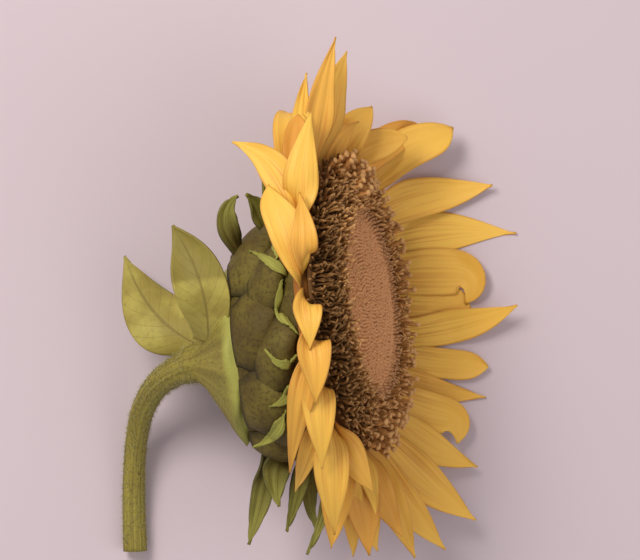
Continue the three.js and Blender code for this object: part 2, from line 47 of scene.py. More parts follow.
head = dict(centre=(15.3, -2, 68), turn=7, pitch=15)
headCentre = np.array(head["centre"], float)
ahead = np.array([
    math.cos(head["pitch"] * deg) * math.cos(head["turn"] * deg),
    math.cos(head["pitch"] * deg) * math.sin(head["turn"] * deg),
    math.sin(head["pitch"] * deg)])
twelve = np.array([-math.sin(head["turn"] * deg), math.cos(head["turn"] * deg), 0.0])
three = np.cross(ahead, twelve)


def smooth(x):  # 0 to 1 with level ends
    x = np.clip(x, 0, 1)
    return x * x * (3 - 2 * x)


def unit(v):
    return v / np.maximum(np.linalg.norm(v, axis=-1, keepdims=True), 1e-9)


def outward(clock):  # away from the head's axis at an hour of its clock, in degrees
    clock = np.asarray(clock, float)[..., None] * deg
    return np.cos(clock) * twelve + np.sin(clock) * three


def headPoint(clock, radius, along, drop=0.0):
    radius, along, drop = (np.asarray(v, float)[..., None] for v in (radius, along, drop))
    return headCentre + outward(clock) * radius + ahead * along - twelve * drop


def addMesh(name, verts, faces, uv, material, nodes=(), tint=None, flat=0):  # the last faces may be flat
    mesh = bpy.data.meshes.new(name)
    mesh.from_pydata((np.asarray(verts) + originShift) * mm, [], faces)
    mesh.polygons.foreach_set("use_smooth", np.arange(len(faces)) < len(faces) - flat)
    corner = np.empty(len(mesh.loops), np.int32)
    mesh.loops.foreach_get("vertex_index", corner)
    mesh.uv_layers.new(name="UVMap").data.foreach_set("uv", np.asarray(uv, np.float32)[corner].ravel())
    if tint is not None:
        mesh.attributes.new("tint", "FLOAT", "POINT").data.foreach_set("value", np.asarray(tint, np.float32))
    mesh.materials.append(material)
    mesh.validate()
    mesh.update()
    piece = bpy.data.objects.new(name, mesh)
    bpy.context.scene.collection.objects.link(piece)
    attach(piece, "root")
    if nodes:
        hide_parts(*nodes)
    print(name, len(mesh.polygons), "faces")
    return piece


class Heap:  # gathers many small surfaces into one mesh
    def __init__(self):
        self.verts, self.faces, self.uv, self.tint, self.size = [], [], [], [], 0

    def add(self, verts, faces, uv, tint=0.5):  # faces is one array, or a list of arrays of unlike faces
        self.verts.append(verts)
        self.faces += [block + self.size for block in (faces if isinstance(faces, list) else [faces])]
        self.uv.append(uv)
        self.tint.append(np.broadcast_to(np.asarray(tint, float), (len(verts),)))
        self.size += len(verts)

    def make(self, name, material, slot, nodes=()):
        faces = [f for block in self.faces for f in block.tolist()]
        return addMesh(name, np.concatenate(self.verts), faces, np.concatenate(self.uv), material, nodes,
                       np.concatenate(self.tint))


def gridFaces(rows, cols, wrap=False, loop=False):  # quads of a grid, wound so that rows x columns is the front
    i, k = np.meshgrid(np.arange(rows if loop else rows - 1), np.arange(cols if wrap else cols - 1), indexing="ij")
    i, k = i.ravel(), k.ravel()
    j, n = (i + 1) % rows, (k + 1) % cols
    return np.stack([i * cols + k, j * cols + k, j * cols + n, i * cols + n], 1)


def gridNormals(grid):
    return unit(np.cross(np.gradient(grid, axis=0), np.gradient(grid, axis=1)))


# a sheet is its middle surface moved half a thickness to both sides and closed round its edge
def thicken(grid, thickness):
    rows, cols = grid.shape[:2]
    offset = gridNormals(grid) * (np.asarray(thickness) / 2)
    size = rows * cols
    verts = np.concatenate([(grid + offset).reshape(-1, 3), (grid - offset).reshape(-1, 3)])
    front = gridFaces(rows, cols)
    edge = np.concatenate([np.arange(cols), np.arange(1, rows) * cols + cols - 1,
                           (rows - 1) * cols + np.arange(cols - 2, -1, -1), np.arange(rows - 2, 0, -1) * cols])
    after = np.roll(edge, -1)
    rim = np.stack([edge, after, after + size, edge + size], 1)
    s, u = np.meshgrid(np.linspace(0, 1, rows), np.linspace(0, 1, cols), indexing="ij")
    uv = np.stack([u.ravel(), s.ravel()], 1)
    return verts, np.concatenate([front, front[:, ::-1] + size, rim]), np.concatenate([uv, uv])


def linear(r, g, b):  # 0-255 screen colour to Blender's linear colour
    c = np.array([r, g, b]) / 255
    return (*np.where(c <= 0.04045, c / 12.92, ((c + 0.055) / 1.055) ** 2.4), 1.0)


class Shader:  # a principled material and short ways to add nodes to it
    def __init__(self, name, roughness=0.6, **sockets):
        self.material = bpy.data.materials.new(name)
        self.material.use_nodes = True
        self.tree = self.material.node_tree
        self.bsdf = self.tree.nodes["Principled BSDF"]
        self.bsdf.inputs["Roughness"].default_value = roughness
        for socket, value in sockets.items():
            self.bsdf.inputs[socket.replace("_", " ")].default_value = value

    def node(self, kind, inputs=None, **settings):
        made = self.tree.nodes.new("ShaderNode" + kind)
        for key, value in settings.items():
            setattr(made, key, value)
        for key, value in (inputs or {}).items():
            if isinstance(value, bpy.types.NodeSocket):
                self.tree.links.new(value, made.inputs[key])
            else:
                made.inputs[key].default_value = value
        return made

    def uv(self, scaleU=1.0, scaleV=1.0):
        read = self.node("UVMap", uv_map="UVMap").outputs[0]
        return self.node("Mapping", {0: read, 3: (scaleU, scaleV, 1)}).outputs[0]

    def uvParts(self):
        return self.node("SeparateXYZ", {0: self.node("UVMap", uv_map="UVMap").outputs[0]}).outputs

    def place(self, scale=1.0):
        read = self.node("TexCoord").outputs["Object"]
        return self.node("Mapping", {0: read, 3: (scale, scale, scale)}).outputs[0]

    def attribute(self, name):
        return self.node("Attribute", attribute_name=name).outputs["Fac"]

    def noise(self, vector, scale, detail=4.0, rough=0.55):
        return self.node("TexNoise", {"Vector": vector, "Scale": scale, "Detail": detail, "Roughness": rough}).outputs[0]

    def math(self, operation, a, b=0.0, clamp=False):
        return self.node("Math", {0: a, 1: b}, operation=operation, use_clamp=clamp).outputs[0]

    def span(self, value, low, high, to=(0.0, 1.0)):  # smooth step of a value between low and high
        return self.node("MapRange", {0: value, 1: low, 2: high, 3: to[0], 4: to[1]},
                         interpolation_type="SMOOTHSTEP").outputs[0]

    def mix(self, factor, a, b, blend="MIX"):
        made = self.node("Mix", {0: factor, 6: a, 7: b}, data_type="RGBA", blend_type=blend)
        return made.outputs[2]

    def finish(self, color, bumpHeight=None, strength=0.3, distance=0.4 * mm, roughness=None):
        self.tree.links.new(color, self.bsdf.inputs["Base Color"])
        if bumpHeight is not None:
            bump = self.node("Bump", {"Height": bumpHeight, "Strength": strength, "Distance": distance})
            self.tree.links.new(bump.outputs[0], self.bsdf.inputs["Normal"])
        if roughness is not None:
            self.tree.links.new(roughness, self.bsdf.inputs["Roughness"])
        return self.material


bladeShape = dict(curlFrom=0.55, levelBy=0.55, tipWidth=0.5)


# share of the full width: rises smoothly from the root to the widest place, then falls as one minus a power; the power
# is larger on one side when the blade is lopsided, and the whole fall is sharpened to a point
def bladeOutline(s, u, rootShare, widest, blunt, lop, sharp):
    rise = rootShare + (1 - rootShare) * smooth(s / widest)
    power = blunt * (1 + lop * np.sign(u))
    return rise * (1 - np.clip((s - widest) / (1 - widest), 0, 1) ** power) ** sharp


# midline: a quadratic curve root - bend - tip, its end rolled about the width and hooked sideways; every point is the
# midline plus u half-widths across, plus the hollow u squared, the pleats and the waved edge along the face's normal
def bladeGrid(root, tip, side, width, thickness, start=None, via=None, turn=1.0, curl=0.0, cup=0.16, blunt=1.8,
              rootShare=0.5, sharp=1.12, hook=0.0, hookFrom=0.55, widest=0.46, lop=0.0, pleat=0.3, wave=0.5, waves=2.5,
              lay=0.0, rows=46, cols=19):
    root, tip, side = (np.asarray(v, float) for v in (root, tip, side))
    bend = np.asarray(via, float) if via is not None else root + start * np.linalg.norm(tip - root) * 0.5
    s = np.linspace(0, 1, rows)[:, None]
    curve = (1 - s) ** 2 * root + 2 * s * (1 - s) * bend + s ** 2 * tip
    along = unit((1 - s) * (bend - root) + s * (tip - bend))
    level = unit(np.cross(zUp, along[-1]))
    level = level if level @ side >= 0 else -level
    k = turn * smooth(s / bladeShape["levelBy"])
    across = side * (1 - k) + level * k
    across = unit(across - (across * along).sum(1, keepdims=True) * along)
    late = np.clip((s - bladeShape["curlFrom"]) / (1 - bladeShape["curlFrom"]), 0, 1) ** 1.5
    roll, turnAside = curl * deg * late, hook * deg * smooth((s - hookFrom) / (1 - hookFrom))
    along = along * np.cos(roll) + np.cross(across, along) * np.sin(roll)
    along, across = (along * np.cos(turnAside) + across * np.sin(turnAside),
                     across * np.cos(turnAside) - along * np.sin(turnAside))
    face = np.cross(along, across)
    step = np.linalg.norm(np.diff(curve, axis=0), axis=1, keepdims=True)
    middle = root + np.concatenate([np.zeros((1, 3)), np.cumsum((along[1:] + along[:-1]) / 2 * step, axis=0)])
    u = np.linspace(-1, 1, cols)[None, :]
    half = np.maximum(bladeShape["tipWidth"], width * bladeOutline(s, u, rootShare, widest, blunt, lop, sharp)) / 2
    early = smooth(s * 3)
    lift = cup * half * early * u ** 2
    lift = lift + pleat * early * (1 - s ** 3) * np.cos(2.5 * math.pi * u) * (1 - u ** 2)
    phase = rng.uniform(0, 2 * math.pi, 2)
    rim = np.abs(u) ** 3 * early * wave
    lift = lift + rim * np.sin(2 * math.pi * waves * s + phase[0] + (phase[1] - phase[0]) * (u > 0))
    grid = middle[:, None] + across[:, None] * (u * half)[..., None] + face[:, None] * lift[..., None]
    grid[..., 2] = np.maximum(grid[..., 2], thickness / 2 + lay)
    return grid


def leanOut(clock, lean):  # outwards, tipped ahead by an angle
    return outward(clock) * math.cos(lean * deg) + ahead * math.sin(lean * deg)


petal = dict(rootRadius=58.5, rootAhead=-7.8, thickness=0.6, lean=12, ringInner=56.3, ringOuter=60.0,
             ringBack=-11.0, ringFront=-5.0, lay=0.8)
petalList = [  # clock of the root, tip, full width, and what sets it apart; tint 0 is yellow and 1 is orange
    dict(clock=6, tip=(12, 111, 76), width=17, turn=0.6, tint=0.25),
    dict(clock=-4, tip=(17.5, 80, 56), width=12, turn=0.7, tint=0.6),
    dict(clock=16, tip=(7, 117, 86), width=14.5, turn=0.7, widest=0.4, sharp=1.25, tint=0.55),
    dict(clock=28, tip=(-6, 101, 80), width=10, turn=0.7, lean=0, tint=0.15),
    dict(clock=-14, tip=(25, 86, 56), width=17, turn=0.8, curl=60, blunt=3, tint=0.35),
    dict(clock=-23, tip=(39.6, 73, 40), width=15, turn=0.9, blunt=5, sharp=1, tint=0.4),
    dict(clock=-34, tip=(51, 80, 16), width=16, turn=0.9, curl=50, blunt=3.5, tint=0.75),
    dict(clock=-43, tip=(61, 78, 24), width=19, curl=50, blunt=6, widest=0.55, sharp=1, lop=-0.4, tint=0.2),
    dict(clock=-57, tip=(79, 52, 5), width=19, lean=25, widest=0.5, blunt=2.4, lop=-0.4, tint=0.2),
    dict(clock=-69, tip=(90, 30, 1), width=20, lean=25, widest=0.55, blunt=1.7, sharp=1.3, tint=0.15),
    dict(clock=-81, tip=(82, 11, 8), width=22, lean=25, widest=0.6, blunt=3, hook=-130, hookFrom=0.74, tint=0.3),
    dict(clock=-92, tip=(69, -4, 1), width=19, lean=25, blunt=8, widest=0.6, sharp=1, tint=0.3),
    dict(clock=-104, tip=(90, -3, 13), width=16, lean=30, widest=0.6, blunt=2.2, lop=-0.35, tint=0.15),
    dict(clock=-112, tip=(77, -31, 4), width=14, lean=25, blunt=7, widest=0.55, sharp=1, tint=0.25),
    dict(clock=-121, tip=(76, -45, 1), width=14, lean=20, tint=0.4),
    dict(clock=-130, tip=(73, -56, 7), width=18, lean=25, hook=-100, hookFrom=0.7, widest=0.58, blunt=3, tint=0.25),
    dict(clock=-140, tip=(72, -77, 6), width=17, lean=20, widest=0.5, tint=0.2),
    dict(clock=-152, tip=(71, -101, 16), width=19, lean=20, widest=0.5, tint=0.25),
    dict(clock=-161, tip=(57, -114, 26), width=15, lean=10, widest=0.55, tint=0.25),
    dict(clock=-168, tip=(43, -117, 42), width=15, lean=15, tint=0.35),
    dict(clock=-177, tip=(37, -107, 60), width=15, turn=0.8, tint=0.75),
    dict(clock=178, tip=(26, -114, 42), width=16, turn=0.7, lean=0, tint=0.25),
    dict(clock=169, tip=(22, -115, 68), width=18, turn=0.8, tint=0.85),
    dict(clock=172, tip=(25, -96, 80), width=10, turn=0.7, lean=26, tint=0.2),
    dict(clock=164, tip=(15, -116, 52), width=11, turn=0.7, lean=5, tint=0.2),
    dict(clock=147, tip=(24, -86, 92), width=15, turn=0.8, lean=18, tint=0.5),
    dict(clock=157, tip=(5, -111.5, 74), width=16, turn=0.8, lean=0, tint=0.5),
    dict(clock=142, tip=(6.5, -105, 86), width=16, turn=0.9, lean=5, tint=0.25),
    dict(clock=118, tip=(1, -75, 112), width=15, lean=15, tint=0.25),
    dict(clock=128, tip=(1, -75, 100), width=9, lean=0, cup=0.6, tint=0.9),
    dict(clock=109, tip=(-13.5, -77, 96), width=12, lean=5, tint=0.55),
    dict(clock=136, tip=(-11, -86, 76), width=10, lean=-10, tint=0.15),
    dict(clock=98, tip=(-2, -46, 130), via=(-1, -18, 147), width=15, cup=0.4, tint=0.5),
    dict(clock=84, tip=(-4.5, -22, 137), via=(-4.5, 0, 146), width=13, tint=0.3),
    dict(clock=82, tip=(-23, 50.5, 118), via=(-10, 25, 143), width=17, rootShare=0.45, widest=0.6, blunt=3, lop=0.5, tint=0.2),
    dict(clock=73, tip=(-9, 47, 124), via=(-5, 22, 147), width=12, tint=0.6),
    dict(clock=50, tip=(-4, 83, 112), width=16, lean=10, tint=0.2),
    dict(clock=57, tip=(-36, 69, 98), via=(-14, 62, 122), width=16, curl=-30, tint=0.15),
    dict(clock=38, tip=(-13, 94, 88), width=17, turn=0.8, lean=0, curl=60, blunt=4, sharp=1, tint=0.2),
    dict(clock=43, tip=(-9.5, 82, 101), width=11, lean=0, blunt=8, sharp=1, tint=0.95),
]


# yellow to orange by the petal's tint, with long noise streaks, painted shade darkening the root where it runs in under
# the disc, and a soft darker edge
def petalMaterial():
    m = Shader("petalYellow", roughness=0.55, Subsurface_Weight=0.1, Subsurface_Scale=1.5 * mm, Specular_IOR_Level=0.35)
    across, along = m.uvParts()[:2]
    tint = m.attribute("tint")
    shifted = m.node("VectorMath", {0: m.uv(17, 1.1), 1: m.node("CombineXYZ", {1: m.math("MULTIPLY", tint, 40)}).outputs[0]},
                     operation="ADD").outputs[0]  # every petal has streaks of its own
    streak = m.noise(shifted, 1.0, detail=3)
    fine = m.noise(m.uv(110, 3), 1.0, detail=2)
    edge = m.math("ABSOLUTE", m.math("SUBTRACT", across, 0.5))
    orange = m.math("ADD", m.math("MULTIPLY", tint, 0.8), m.math("MULTIPLY", streak, 0.25), clamp=True)
    color = m.mix(orange, linear(240, 194, 80), linear(214, 146, 56))
    color = m.mix(m.math("MULTIPLY", m.span(along, 0.95, 0.25), m.span(streak, 0.48, 0.62, (0, 0.7))), color,
                  linear(204, 134, 50))
    color = m.mix(m.math("MULTIPLY", m.span(along, 0.66, 0.1), m.span(fine, 0.5, 0.7, (0, 0.75))), color,
                  linear(164, 96, 36))
    color = m.mix(m.span(edge, 0.42, 0.5, (0, 0.45)), color, linear(186, 122, 42))
    # painted shade: the root darkens to brown where the petal runs in under the disc and the bracts
    color = m.mix(m.span(along, 0.22, 0.0, (0, 0.8)), color, linear(138, 80, 32))
    height = m.math("ADD", m.math("MULTIPLY", streak, 0.7), m.math("MULTIPLY", fine, 0.3))
    return m.finish(color, height, strength=0.4, distance=0.5 * mm)


def makePetals():
    heap = Heap()
    for i, spec in enumerate(petalList):
        spec = dict(spec, lay=petal["lay"] * ((i + 1) % 2))  # neighbours on the table lie one over the other
        clock, tint, lean = spec.pop("clock"), spec.pop("tint"), spec.pop("lean", petal["lean"])
        grid = bladeGrid(headPoint(clock, petal["rootRadius"], petal["rootAhead"]), side=outward(clock + 90),
                         start=leanOut(clock, lean), thickness=petal["thickness"], **dict(dict(rootShare=0.65), **spec))
        heap.add(*thicken(grid, petal["thickness"]), tint)
    # the ring that the petals grow from: a square profile carried round the head's axis
    clock = np.linspace(0, 360, 96, endpoint=False)
    profile = [(petal["ringOuter"], petal["ringFront"]), (petal["ringOuter"], petal["ringBack"]),
               (petal["ringInner"], petal["ringBack"]), (petal["ringInner"], petal["ringFront"])]
    ring = np.stack([headPoint(clock, r, a) for r, a in profile])
    heap.add(ring.reshape(-1, 3), gridFaces(4, 96, wrap=True, loop=True), np.zeros((4 * 96, 2)), 0.5)
    heap.make("petals", petalMaterial(), "petal_yellow", ["ray_petals"])


# rings of the receptacle that the bracts and the stem share: ahead, drop, radius, tilt
coreRings = np.array([(-4, 0, 56, 0), (-14, 2, 53, 0), (-22, 8, 50, 2), (-31, 12, 46.5, 4), (-41.5, 14, 42.5, 6),
                      (-55, 15.5, 38.5, 8)], float)
coneRings = np.array([(-56.2, 17, 38.5, 8), (-57.8, 18.5, 39.5, 7), (-61.2, 18.5, 34, 6), (-65.2, 18, 26.5, 4),
                      (-69.2, 18, 18.5, 2), (-72.5, 18, 12.5, 0), (-76, 18, 9, 0)], float)


def ringPoint(rings, clock, place, out=0.0):  # a point on the rings at a place along the axis, out from their surface
    order = np.argsort(rings[:, 0])
    drop, radius, tilt = (np.interp(place, rings[order, 0], rings[order, k]) for k in (1, 2, 3))
    clock = np.asarray(clock, float)
    return headPoint(clock, radius + out, place + tilt * np.sin(clock * deg), drop)


bract = dict(collar=2.0, seam=0.3, thickness=1.2, sag=10.0, collarBack=-54, collarFront=-12, drape=0.9, near=1.6)
bractRows = [  # rows of broad, rounded scales from the stem's side towards the petals
    dict(count=8, firstClock=35, root=-54, tip=-25, width=38, bulge=9, lift=0.6),
    dict(count=9, firstClock=20, root=-42, tip=-12.5, width=34, bulge=8, lift=1.6),
]
hornList = [  # light tips bent back over the scales: clock and place of the root, then of the tip, and the width
    (172, -13, 180, -28, 7), (205, -12, 196, -27, 7), (236, -12, 244, -28, 7), (300, -12, 308, -28, 7),
    (332, -12, 325, -27, 7), (3, -12, 8, -28, 7), (33, -12, 27, -28, 7)]
nearHorns = [  # those on the upper side lie on the scales: root, bend and tip seen from above, and the width
    ((-12.6, 8.1), (-21.6, 18), (-31.5, 21.6), 5.5), ((-20.5, 15.5), (-16.6, 23.9), (-23, 30.2), 5),
    ((-8.1, -16.7), (-21.5, -5.9), (-16.5, 9), 8), ((-7.7, -21.2), (-15, -36), (-24, -22), 5.5),
    ((-9, -33.8), (-12, -45.5), (-22.5, -47.5), 7), ((-14.9, -47.7), (-16.7, -62), (-30.2, -66.2), 7)]
freeBracts = [
    dict(clock=22, place=-46, tip=(-39.6, 47.7, 82), via=(-46, 34, 86), width=10, rootShare=1, hook=-30),
    dict(clock=6, place=-36, tip=(-33, 47, 76), width=11),
    dict(clock=20, place=-26, tip=(-26, 58, 92), width=13),
    dict(clock=182, place=-48, tip=(-33, -110, 50), via=(-24, -88, 58), width=11, curl=-30, rootShare=1, widest=0.2,
         blunt=2.6),
    dict(clock=176, place=-40, tip=(-19, -93.5, 62), via=(-22, -78, 64), width=14, curl=-30, rootShare=0.8, widest=0.3),
    dict(clock=185, place=-30, tip=(-15, -105, 50), via=(-9, -84, 58), width=10, rootShare=1, widest=0.2),
    dict(clock=196, place=-24, tip=(-1, -105, 36), via=(-10, -86, 48), width=10, rootShare=1, widest=0.2),
    dict(clock=178, place=-16, tip=(-6, -115, 58), via=(5, -96, 62), width=5),
    dict(clock=300, place=-34, tip=(-30, 22, 0.6), width=13),
]


# dark olive with grain and painted shade in the creases round each scale's edges and root, light green where the tint
# is 1
def bractMaterial():
    m = Shader("bractOlive", roughness=0.72, Specular_IOR_Level=0.3)
    grain = m.noise(m.place(520), 1.0, detail=5, rough=0.7)
    blotch = m.noise(m.place(55), 1.0, detail=2)
    vein = m.noise(m.uv(22, 1.2), 1.0, detail=2)
    across, along = m.uvParts()[:2]
    edge = m.math("ABSOLUTE", m.math("SUBTRACT", across, 0.5))
    # painted shade: darker towards each piece's side edges and its root, where the scales meet in creases
    creaseShade = m.math("MAXIMUM", m.span(edge, 0.36, 0.5), m.span(along, 0.12, 0.0))
    color = m.mix(m.span(blotch, 0.35, 0.65), linear(108, 94, 34), linear(86, 70, 24))
    color = m.mix(m.span(grain, 0.45, 0.66, (0, 0.7)), color, linear(60, 48, 14))
    color = m.mix(m.math("MULTIPLY", creaseShade, 0.75), color, linear(44, 36, 10))
    light = m.mix(m.span(vein, 0.35, 0.65), linear(164, 160, 74), linear(126, 124, 50))
    light = m.mix(m.span(edge, 0.4, 0.5, (0, 0.4)), light, linear(96, 90, 36))
    color = m.mix(m.attribute("tint"), color, light)
    height = m.math("ADD", m.math("MULTIPLY", grain, 0.5), m.math("MULTIPLY", vein, 0.5))
    return m.finish(color, height, strength=0.5, distance=0.6 * mm)


# a scale is a pillow on the collar: it swells by a half sine wave along and one minus u squared across, its outline is
# rounded, and its width wraps the clock
def scaleGrid(row, clock, rows=40, cols=31):
    s = np.linspace(0, 1, rows)[:, None]
    u = np.linspace(-1, 1, cols)[None, :]
    sag = bract["sag"] * max(0.0, -math.sin(clock * deg)) ** 3
    swell = np.sin(math.pi * np.clip(0.06 + 0.9 * s, 0, 1)) ** 0.7
    half = np.maximum(0.8, row["width"] * bladeOutline(s, u, 0.72, 0.45, 2.6, 0.0, 0.6)) / 2
    place = row["root"] + (row["tip"] - row["root"]) * (s - 0.12 * s * u ** 2)
    out = bract["seam"] + bract["collar"] / 2 + row["lift"] + (row["bulge"] + sag) * swell * (1 - 0.93 * u ** 2)
    radius = np.interp(place, coreRings[::-1, 0], coreRings[::-1, 2]) + out
    grid = ringPoint(coreRings, clock + u * half / radius / deg, place, out)
    grid[..., 2] = np.maximum(grid[..., 2], bract["thickness"] / 2)
    return grid


# a blade laid on other points: each of its points is lifted over the highest of those that are near it seen from above
def drape(grid, points):
    flat = grid.reshape(-1, 3)
    for rows in np.array_split(np.arange(len(flat)), 8):
        gap = np.linalg.norm(flat[rows, None, :2] - points[None, :, :2], axis=-1)
        top = np.where(gap < bract["near"], points[None, :, 2], -1.0).max(1)
        flat[rows, 2] = np.maximum(flat[rows, 2], top + bract["drape"])
    return flat.reshape(grid.shape)


def makeBracts():
    heap, scales = Heap(), []
    for row in bractRows:
        for i in range(row["count"]):
            clock = row["firstClock"] + i * 360 / row["count"] + rng.uniform(-2, 2)
            shape = dict(row, bulge=row["bulge"] * rng.uniform(0.85, 1.15), tip=row["tip"] - rng.uniform(0, 2))
            scales.append(scaleGrid(shape, clock))
            heap.add(*thicken(scales[-1], bract["thickness"]), 0.0)
    points = np.concatenate([grid.reshape(-1, 3) for grid in scales])
    points = points[points[:, 2] > headCentre[2]]
    for *places, width in nearHorns:
        root, via, tip = ([*place, headCentre[2] + 20] for place in places)
        grid = bladeGrid(root, tip, (0, 0, 1), width, bract["thickness"], via=via, rootShare=1, widest=0.25, blunt=1.5,
                         cup=0.25, pleat=0.1, wave=0.2, rows=30, cols=9)
        heap.add(*thicken(drape(grid, points), bract["thickness"]), 1.0)
    for clock, place, tipClock, tipPlace, width in hornList:
        root = ringPoint(coreRings, clock, place, 2.0)
        via = ringPoint(coreRings, (clock * 2 + tipClock) / 3, place - 2, 16.0)
        tip = ringPoint(coreRings, tipClock, tipPlace, 12.5)
        grid = bladeGrid(root, tip, outward(clock + 90), width, bract["thickness"], via=via, turn=0.3, rootShare=1,
                         widest=0.3, blunt=1.6, cup=0.3, pleat=0.1, wave=0.2, rows=24, cols=9)
        heap.add(*thicken(grid, bract["thickness"]), 1.0)
    for spec in freeBracts:
        spec = dict(spec)
        clock, place = spec.pop("clock"), spec.pop("place")
        root = ringPoint(coreRings, clock, place, bract["seam"] + bract["collar"] / 2)
        shape = dict(dict(rootShare=0.8, turn=0.8), **spec)
        grid = bladeGrid(root, side=outward(clock + 90), start=leanOut(clock, 10), thickness=bract["thickness"], **shape)
        verts, faces, uv = thicken(grid, bract["thickness"])
        heap.add(verts, faces, uv, 0.12 + 0.55 * smooth(uv[:, 1] * 1.5 - 0.3))
    # the collar under them: a band round the receptacle
    clock = np.linspace(0, 360, 96, endpoint=False)
    places = np.array([bract["collarFront"], -14, -22, -31, -41.5, bract["collarBack"]], float)
    outer = [ringPoint(coreRings, clock, np.full(96, p), bract["seam"] + bract["collar"]) for p in places]
    inner = [ringPoint(coreRings, clock, np.full(96, p), bract["seam"]) for p in places[::-1]]
    band = np.stack(outer + inner)
    heap.add(band.reshape(-1, 3), gridFaces(len(band), 96, wrap=True, loop=True), np.tile([[0.5, 0.1]], (len(band) * 96, 1)), 0.0)
    heap.make("bracts", bractMaterial(), "bract_green", ["green_bracts"])


stem = dict(sides=96, steps=70, ridges=13, ridgeDepth=0.18, lipWave=1.1, pith=0.72, hairs=4200, hairLength=(0.8, 2.2),
            hairWidth=0.1, hairClear=3.2)
stemPoints = np.array([(-64.8, -32.6, 42, 6.8), (-73.6, -39, 33, 5.8), (-80.8, -51, 22, 5.3), (-84.2, -68, 12.5, 5),
                       (-85.2, -91, 6.6, 5.2), (-84.6, -115.5, 5.4, 5.5)])


# green streaks along the stem under dark grain, a pale lip where the neck flares, and pale pith at the cut
def stemMaterial():
    m = Shader("stemGreen", roughness=0.66, Specular_IOR_Level=0.3)
    streak = m.noise(m.uv(40, 3), 1.0, detail=3)
    grain = m.noise(m.place(700), 1.0, detail=3, rough=0.7)
    blotch = m.noise(m.place(45), 1.0, detail=2)
    color = m.mix(m.span(streak, 0.3, 0.7), linear(152, 138, 58), linear(118, 104, 42))
    color = m.mix(m.span(blotch, 0.45, 0.7, (0, 0.5)), color, linear(136, 130, 54))
    color = m.mix(m.span(grain, 0.5, 0.7, (0, 0.75)), color, linear(84, 72, 30))
    color = m.mix(m.span(m.uvParts()[1], 0.1, 0.078, (0, 0.75)), color, linear(170, 168, 84))  # the pale lip
    color = m.mix(m.attribute("tint"), color, linear(204, 196, 142))
    height = m.math("ADD", m.math("MULTIPLY", grain, 0.4), m.math("MULTIPLY", streak, 0.6))
    return m.finish(color, height, strength=0.45, distance=0.6 * mm)


# smooth path through points: cubic Hermite pieces with slopes from the neighbours
def smoothPath(points, count):
    t = np.arange(len(points), dtype=float)
    slope = np.gradient(points, t, axis=0)
    x = np.linspace(0, len(points) - 1, count)
    i = np.minimum(x.astype(int), len(points) - 2)
    f = (x - i)[:, None]
    h00, h10 = 2 * f ** 3 - 3 * f ** 2 + 1, f ** 3 - 2 * f ** 2 + f
    h01, h11 = -2 * f ** 3 + 3 * f ** 2, f ** 3 - f ** 2
    return h00 * points[i] + h10 * slope[i] + h01 * points[i + 1] + h11 * slope[i + 1]


# the receptacle's rings, then a ridged tube along the path: across and over carry the circle at each step
def makeStem():
    sides = stem["sides"]
    clock = np.linspace(0, 360, sides, endpoint=False)
    rings = np.concatenate([coreRings, coneRings])
    lip = np.where(np.abs(np.arange(len(rings)) - 6.5) < 1, stem["lipWave"], 0)  # the flared edge is waved
    body = [ringPoint(rings[k:k + 1], clock, rings[k, 0] + lip[k] * np.sin(7 * clock * deg),
                      lip[k] * np.sin(9 * clock * deg + 1)) for k in range(len(rings))]
    neck = headPoint(0, 0, coneRings[-1, 0], coneRings[-1, 1])
    path = smoothPath(np.concatenate([[np.append(neck, coneRings[-1, 2])], stemPoints]), stem["steps"])[1:]
    along = -unit(np.gradient(path[:, :3], axis=0))
    across = twelve
    turned = []
    for d in along:  # carry the side direction down the stem without twist
        across = unit(across - (across @ d) * d)
        turned.append(across)
    across = np.array(turned)[:, None]
    over = np.cross(along, np.array(turned))[:, None]
    angle = (clock * deg)[None, :, None]
    radius = path[:, None, 3:] - stem["ridgeDepth"] * (1 - np.cos(stem["ridges"] * angle)) / 2
    tube = path[:, None, :3] + across * radius * np.cos(angle) + over * radius * np.sin(angle)
    end = path[-1, :3] + (tube[-1:] - path[-1, :3]) * stem["pith"]
    grid = np.concatenate([np.array(body), tube, end])
    grid[..., 2] = np.maximum(grid[..., 2], 0.0)
    rows = len(grid)
    s = np.linspace(0, 1, rows)[:, None] + np.zeros((1, sides))
    uv = np.stack([np.broadcast_to(clock / 360, (rows, sides)), s], -1).reshape(-1, 2)
    ends = [np.arange(sides), np.arange(sides)[::-1] + (rows - 1) * sides]
    faces = gridFaces(rows, sides, wrap=True).tolist() + [ring.tolist() for ring in ends]
    tint = np.repeat(np.arange(rows) == rows - 1, sides)
    addMesh("stemAndNeck", grid.reshape(-1, 3), faces, uv, stemMaterial(), ["stem"], tint, sides + 2)
    addHairs(grid[len(coreRings) + 2:-2])


